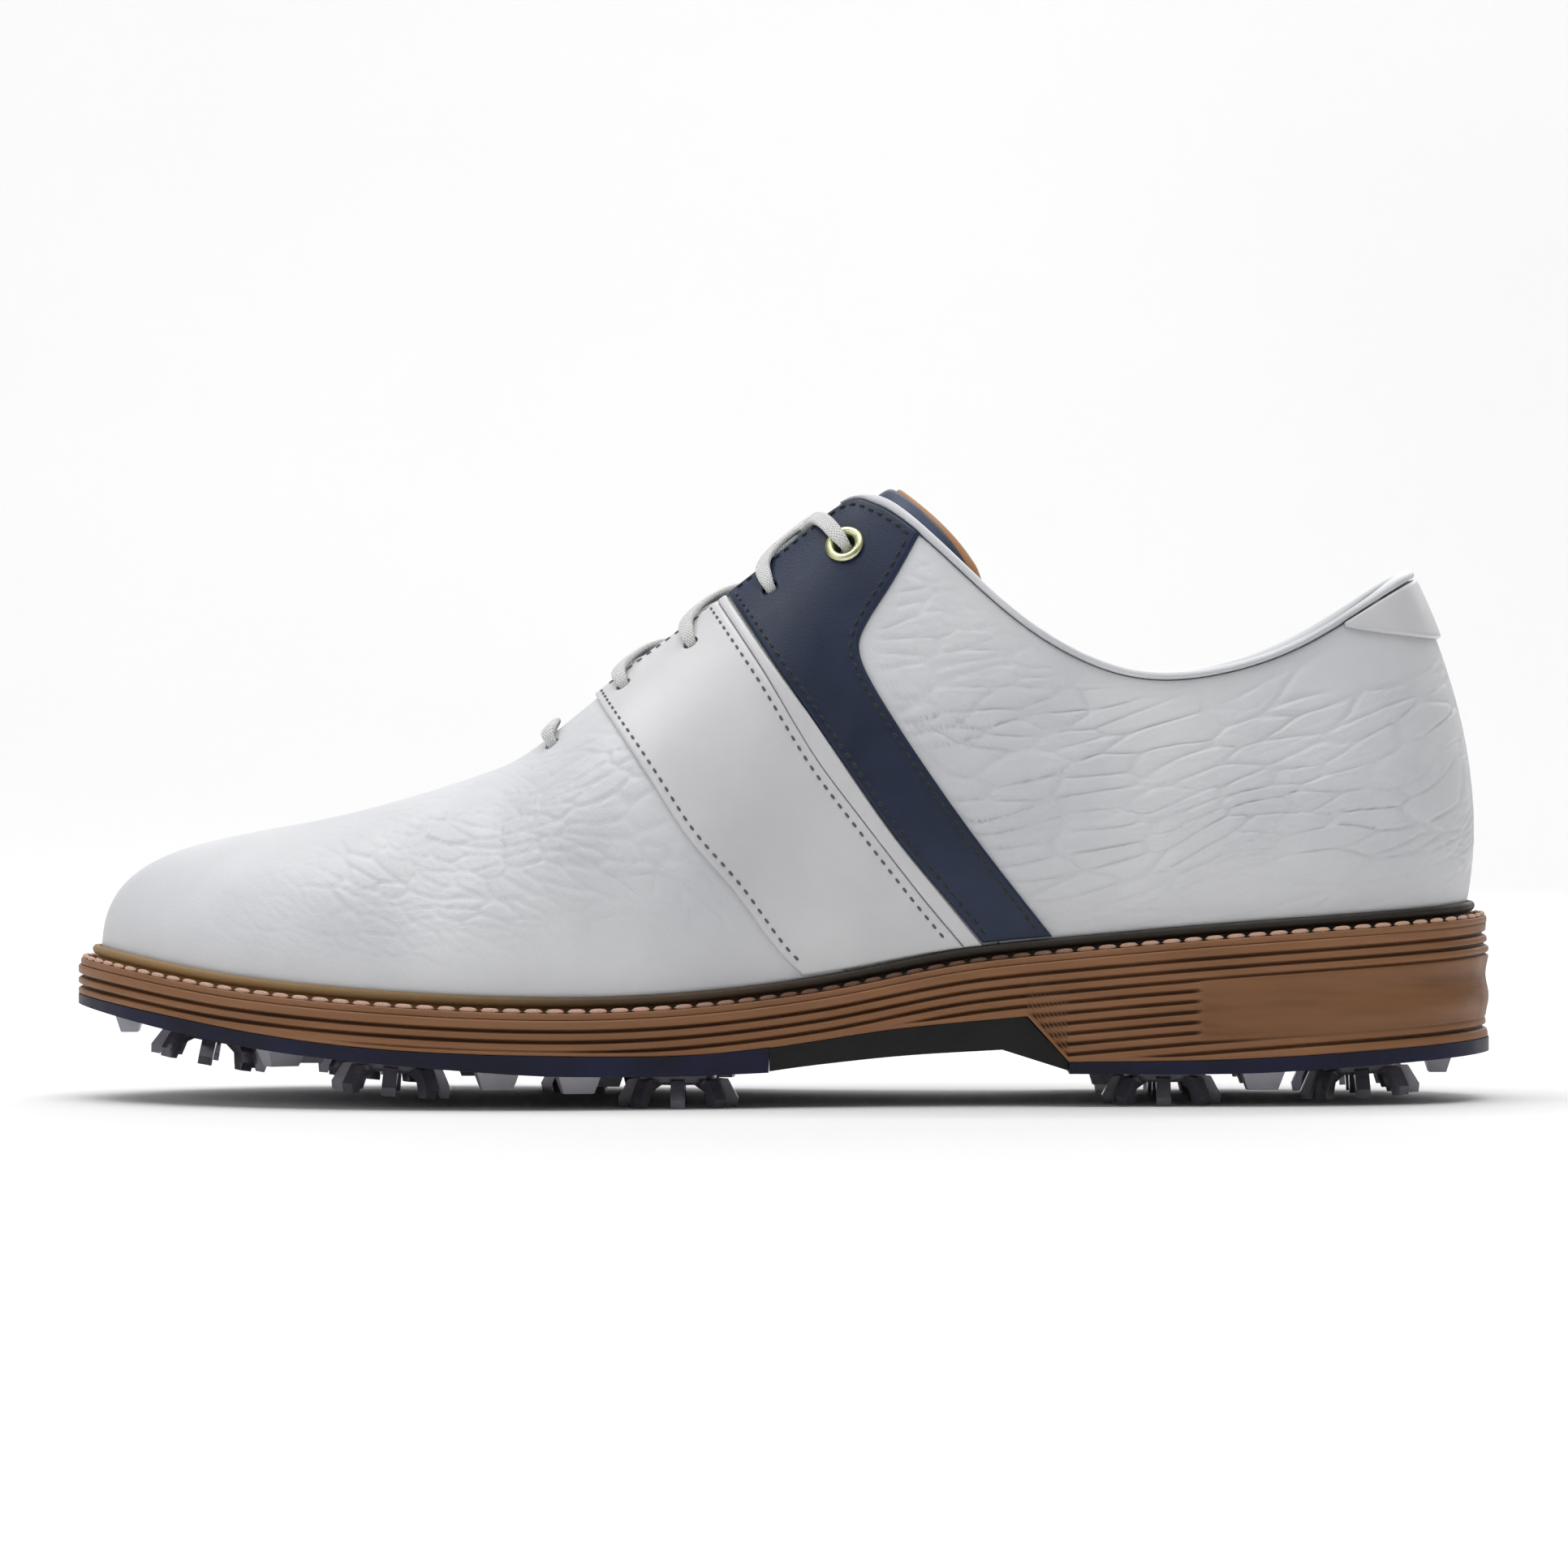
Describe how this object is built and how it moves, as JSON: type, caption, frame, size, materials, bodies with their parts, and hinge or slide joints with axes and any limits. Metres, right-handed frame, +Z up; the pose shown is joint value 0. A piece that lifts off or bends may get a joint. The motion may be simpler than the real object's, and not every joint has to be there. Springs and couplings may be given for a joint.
{
  "type": "golf shoe",
  "caption": "Low-cut leather saddle golf shoe with laces, a storm welt, a layered sole with a heel block and twist-lock soft cleats.",
  "frame": {"origin": "on the ground under the middle of the sole's outline", "axes": "+X from toe to heel, -Y the outer (lateral) side, +Z up; a left shoe"},
  "size_m": [0.302, 0.1068, 0.131],
  "materials": {
    "white_leather": "white tumbled leather, satin",
    "saddle_leather": "smooth white leather, satin",
    "navy_leather": "smooth navy leather, semi-gloss",
    "collar_piping": "rolled light leather binding",
    "lining_textile": "light grey textile lining",
    "backing_fabric": "woven cotton backing",
    "stiffener": "thermoplastic stiffener sheet",
    "foam": "soft open-cell foam",
    "tongue_leather": "navy leather, semi-gloss",
    "tan_lining": "tan leather lining",
    "pale_brass": "pale gold eyelet, polished",
    "lace_cotton": "waxed white flat cotton lace",
    "aglet_film": "clear film tip",
    "welt": "storm welt, brown to dark olive",
    "thread": "pale sole stitching thread",
    "board": "pressed fibre board",
    "sock_foam": "dark grey fabric over foam",
    "cork": "cork filler",
    "steel": "spring steel",
    "midsole_rubber": "reddish brown stacked midsole",
    "outsole_navy": "navy outsole, satin",
    "bridge_black": "black waist bridge",
    "lug_grey": "pale grey tread lugs",
    "cleat_clear": "smoky translucent cleats",
    "socket_plastic": "moulded receptacle"
  },
  "bodies": {
    "shoe": {"saddle_lateral": "saddle_leather", "saddle_strip_lateral": "white_leather", "eyestay_band_lateral": "navy_leather", "saddle_backing_lateral": "backing_fabric", "quarter_lateral": "white_leather", "quarter_lining_lateral": "lining_textile", "saddle_medial": "saddle_leather", "saddle_strip_medial": "white_leather", "eyestay_band_medial": "navy_leather", "saddle_backing_medial": "backing_fabric", "quarter_medial": "white_leather", "quarter_lining_medial": "lining_textile", "vamp": "white_leather", "vamp_lining": "lining_textile", "toe_puff": "stiffener", "heel_counter": "stiffener", "collar_foam_lateral": "foam", "collar_foam_medial": "foam", "collar_binding": "collar_piping", "heel_tab": "saddle_leather", "welt": "welt", "welt_stitching": "thread", "insole_board": "board", "sockliner": "sock_foam", "shank": "steel", "bottom_filler": "cork", "waist_bridge": "bridge_black", "cleat_receptacles": "socket_plastic", "midsole": "midsole_rubber", "outsole_forefoot": "outsole_navy", "outsole_heel": "outsole_navy", "forefoot_lugs": "lug_grey", "heel_lugs": "lug_grey", "top_eyelet_lateral": "pale_brass", "top_eyelet_medial": "pale_brass", "lace": "lace_cotton", "lace_tail_lateral": "lace_cotton", "aglet_lateral": "aglet_film", "lace_tail_medial": "lace_cotton", "aglet_medial": "aglet_film"},
    "tongue": {"tongue_outer": "tongue_leather", "tongue_foam": "foam", "tongue_lining": "tan_lining"},
    "cleat_toe": {"cleat_toe": "cleat_clear"},
    "cleat_fore_lateral": {"cleat_fore_lateral": "cleat_clear"},
    "cleat_fore_medial": {"cleat_fore_medial": "cleat_clear"},
    "cleat_ball_lateral": {"cleat_ball_lateral": "cleat_clear"},
    "cleat_ball_medial": {"cleat_ball_medial": "cleat_clear"},
    "cleat_heel_front_lateral": {"cleat_heel_front_lateral": "cleat_clear"},
    "cleat_heel_front_medial": {"cleat_heel_front_medial": "cleat_clear"},
    "cleat_heel_rear_lateral": {"cleat_heel_rear_lateral": "cleat_clear"},
    "cleat_heel_rear_medial": {"cleat_heel_rear_medial": "cleat_clear"}
  },
  "joints": [
    {"name": "cleat_toe_twist", "type": "hinge", "parent": "shoe", "child": "cleat_toe", "pos_m": [-0.122, 0.004, 0.01445], "axis": [0.18, 0, 0.9837], "range_deg": [0, 60]},
    {"name": "cleat_fore_lateral_twist", "type": "hinge", "parent": "shoe", "child": "cleat_fore_lateral", "pos_m": [-0.082, -0.03, 0.00951], "axis": [0.0856, 0, 0.9963], "range_deg": [0, 60]},
    {"name": "cleat_fore_medial_twist", "type": "hinge", "parent": "shoe", "child": "cleat_fore_medial", "pos_m": [-0.088, 0.031, 0.01004], "axis": [0.0893, 0, 0.996], "range_deg": [0, 60]},
    {"name": "cleat_ball_lateral_twist", "type": "hinge", "parent": "shoe", "child": "cleat_ball_lateral", "pos_m": [-0.022, -0.0335, 0.007], "axis": [0, 0, 1], "range_deg": [0, 60]},
    {"name": "cleat_ball_medial_twist", "type": "hinge", "parent": "shoe", "child": "cleat_ball_medial", "pos_m": [-0.04, 0.031, 0.007], "axis": [0, 0, 1], "range_deg": [0, 60]},
    {"name": "cleat_heel_front_lateral_twist", "type": "hinge", "parent": "shoe", "child": "cleat_heel_front_lateral", "pos_m": [0.08, -0.021, 0.007], "axis": [0, 0, 1], "range_deg": [0, 60]},
    {"name": "cleat_heel_front_medial_twist", "type": "hinge", "parent": "shoe", "child": "cleat_heel_front_medial", "pos_m": [0.08, 0.0245, 0.007], "axis": [0, 0, 1], "range_deg": [0, 60]},
    {"name": "cleat_heel_rear_lateral_twist", "type": "hinge", "parent": "shoe", "child": "cleat_heel_rear_lateral", "pos_m": [0.122, -0.0155, 0.0084], "axis": [-0.0636, 0, 0.998], "range_deg": [0, 60]},
    {"name": "cleat_heel_rear_medial_twist", "type": "hinge", "parent": "shoe", "child": "cleat_heel_rear_medial", "pos_m": [0.122, 0.019, 0.0084], "axis": [-0.0636, 0, 0.998], "range_deg": [0, 60]},
    {"name": "tongue_fold", "type": "hinge", "parent": "shoe", "child": "tongue", "pos_m": [-0.06251, 0, 0.0603], "axis": [0, 1, 0], "range_deg": [0, 8], "stiffness_Nm_per_rad": 0.5, "springref_deg": -4.58}
  ]
}
